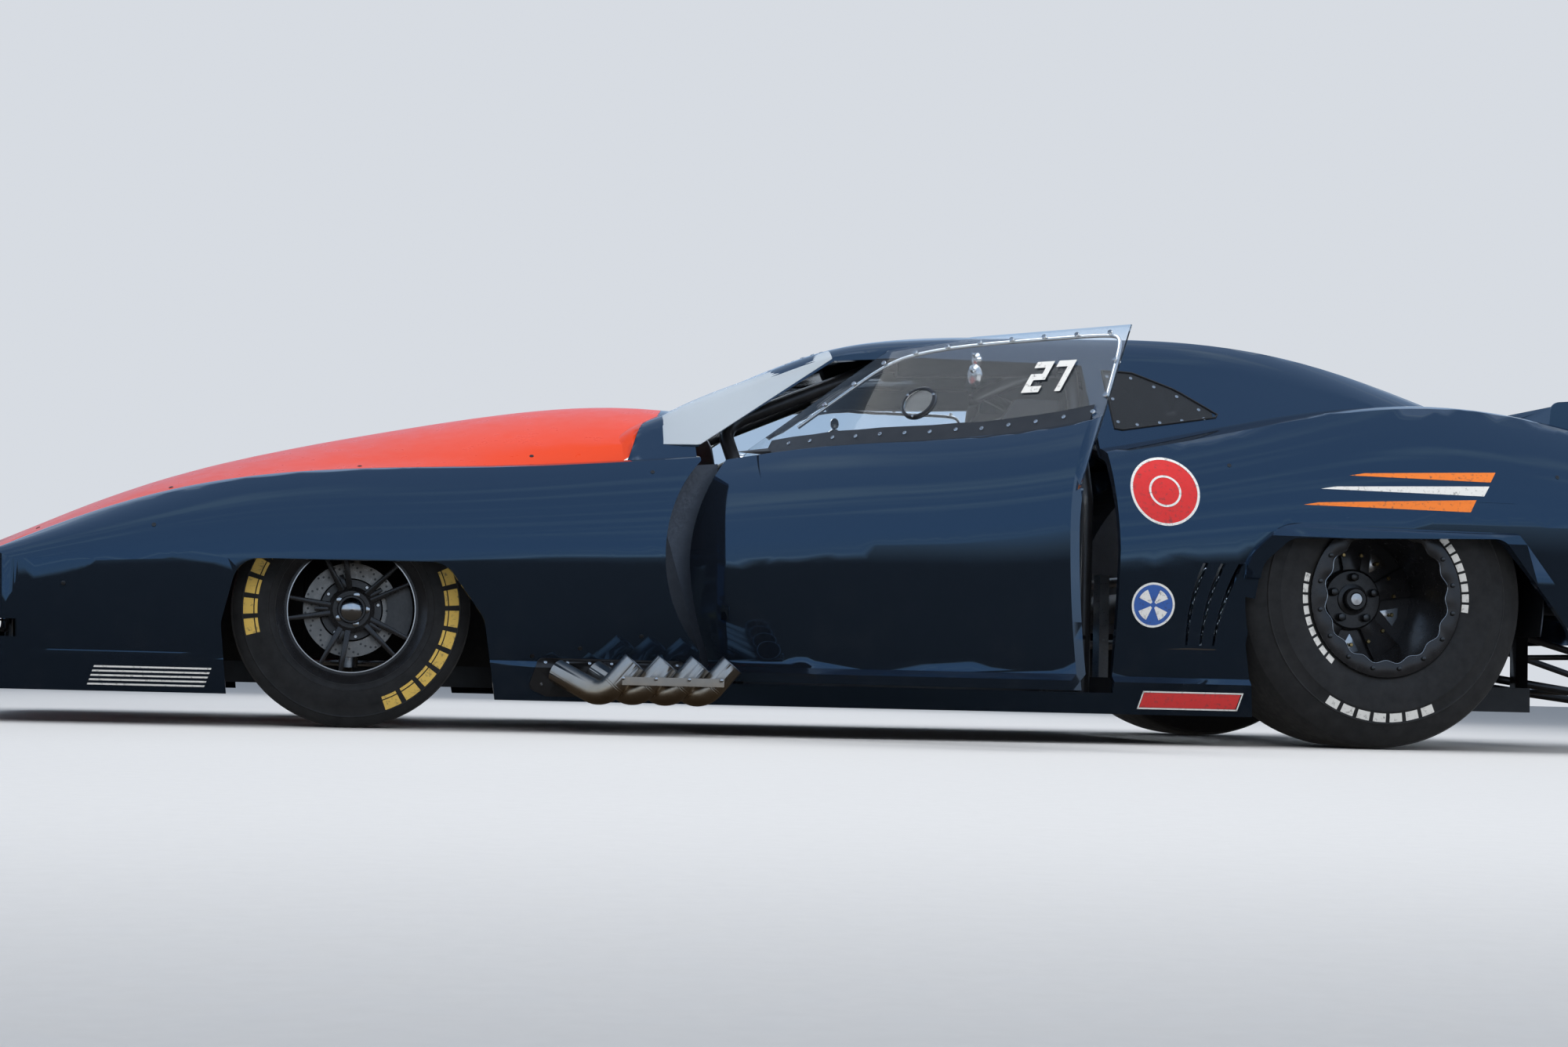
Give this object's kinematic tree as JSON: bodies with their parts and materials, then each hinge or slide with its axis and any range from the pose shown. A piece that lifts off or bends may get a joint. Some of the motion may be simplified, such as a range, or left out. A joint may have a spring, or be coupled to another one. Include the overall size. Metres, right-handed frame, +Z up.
{
  "type": "drag racing car",
  "caption": "Door-type drag racing car with upswept side pipes, wide rear slicks, narrow front wheels, two hinged doors, wheelie bar and parachute packs.",
  "frame": {"origin": "on the floor, midway between the axles on the centre line", "axes": "+X to the rear, +Y to the car's right, +Z up"},
  "size_m": [5.627, 2.7351, 1.2397],
  "materials": {
    "black_paint": "high gloss black, clear coated",
    "orange_paint": "high gloss orange, clear coated",
    "red_lens": "glossy red lens",
    "clear_lens": "clear moulded lens",
    "black_plastic": "satin black",
    "polycarbonate": "clear sheet",
    "tinted_window": "dark sheet",
    "frame_black": "satin black powder coat",
    "floor_alloy": "dull anodised sheet",
    "bare_steel": "brushed",
    "cast_grey": "cast",
    "heat_steel": "brushed stainless, heat tinted",
    "wheel_black": "satin black",
    "tyre": "matt rubber",
    "wheelie_rubber": "matt rubber",
    "pack_cloth": "woven nylon",
    "seat_black": "padded black cover"
  },
  "bodies": {
    "chassis": {"body_shell": "black_paint", "cowl_panel": "black_paint", "dashboard": "black_plastic", "deck_lid": "black_paint", "door_hinges": "bare_steel", "driveline": "cast_grey", "engine_block": "cast_grey", "exhaust_left": "heat_steel", "exhaust_plates": "frame_black", "exhaust_right": "heat_steel", "floor_pan": "floor_alloy", "frame_rails": "frame_black", "front_clip": "black_paint", "front_suspension": "bare_steel", "grille": "black_plastic", "headlamps": "clear_lens", "hood": "orange_paint", "parachute_packs": "pack_cloth", "quarter_windows": "tinted_window", "rear_axle": "frame_black", "rear_links": "bare_steel", "rear_spoiler": "black_paint", "rear_window": "polycarbonate", "roll_cage": "frame_black", "seat": "seat_black", "sills": "black_paint", "steering_column": "bare_steel", "tail_lamps": "red_lens", "tail_panel": "black_paint", "wheel_tubs": "floor_alloy", "wheelie_bar": "frame_black", "windscreen": "polycarbonate"},
    "left_door": {"door_left": "black_paint", "door_window_left": "polycarbonate"},
    "right_door": {"door_right": "black_paint", "door_window_right": "polycarbonate"},
    "left_knuckle": {"knuckle_left": "cast_grey"},
    "right_knuckle": {"knuckle_right": "cast_grey"},
    "front_left_wheel": {"front_rim_left": "wheel_black", "front_tyre_left": "tyre"},
    "front_right_wheel": {"front_rim_right": "wheel_black", "front_tyre_right": "tyre"},
    "rear_left_wheel": {"rear_rim_left": "wheel_black", "rear_tyre_left": "tyre"},
    "rear_right_wheel": {"rear_rim_right": "wheel_black", "rear_tyre_right": "tyre"},
    "steering_wheel": {"steering_wheel": "seat_black"},
    "wheelie_wheels": {"wheelie_wheels": "wheelie_rubber"}
  },
  "joints": [
    {"name": "left_door_hinge", "type": "hinge", "parent": "chassis", "child": "left_door", "pos_m": [-0.44, -0.88, 0.47], "axis": [0, 0, -1], "range_deg": [-48, 12]},
    {"name": "right_door_hinge", "type": "hinge", "parent": "chassis", "child": "right_door", "pos_m": [-0.44, 0.88, 0.47], "axis": [0, 0, 1], "range_deg": [0, 60]},
    {"name": "steer_left", "type": "hinge", "parent": "chassis", "child": "left_knuckle", "pos_m": [-1.4605, -0.59, 0.3175], "axis": [0, 0, 1], "range_deg": [-20, 20]},
    {"name": "steer_right", "type": "hinge", "parent": "chassis", "child": "right_knuckle", "pos_m": [-1.4605, 0.59, 0.3175], "axis": [0, 0, 1], "range_deg": [-20, 20]},
    {"name": "steering_wheel_turn", "type": "hinge", "parent": "chassis", "child": "steering_wheel", "pos_m": [-0.06, -0.33, 0.69], "axis": [0.9397, 0, 0.342], "range_deg": [-120, 120]},
    {"name": "front_left_roll", "type": "hinge", "parent": "left_knuckle", "child": "front_left_wheel", "pos_m": [-1.4605, -0.715, 0.3175], "axis": [0, 1, 0], "continuous": true},
    {"name": "front_right_roll", "type": "hinge", "parent": "right_knuckle", "child": "front_right_wheel", "pos_m": [-1.4605, 0.715, 0.3175], "axis": [0, 1, 0], "continuous": true},
    {"name": "rear_left_roll", "type": "hinge", "parent": "chassis", "child": "rear_left_wheel", "pos_m": [1.4605, -0.6885, 0.436], "axis": [0, 1, 0], "continuous": true},
    {"name": "rear_right_roll", "type": "hinge", "parent": "chassis", "child": "rear_right_wheel", "pos_m": [1.4605, 0.6885, 0.436], "axis": [0, 1, 0], "continuous": true},
    {"name": "wheelie_roll", "type": "hinge", "parent": "chassis", "child": "wheelie_wheels", "pos_m": [3.04, 0, 0.105], "axis": [0, 1, 0], "continuous": true}
  ],
  "couplings": [
    {"joint": "steer_right", "follows": "steer_left", "ratio": 1},
    {"joint": "steering_wheel_turn", "follows": "steer_left", "ratio": 6},
    {"joint": "rear_right_roll", "follows": "rear_left_roll", "ratio": 1}
  ]
}
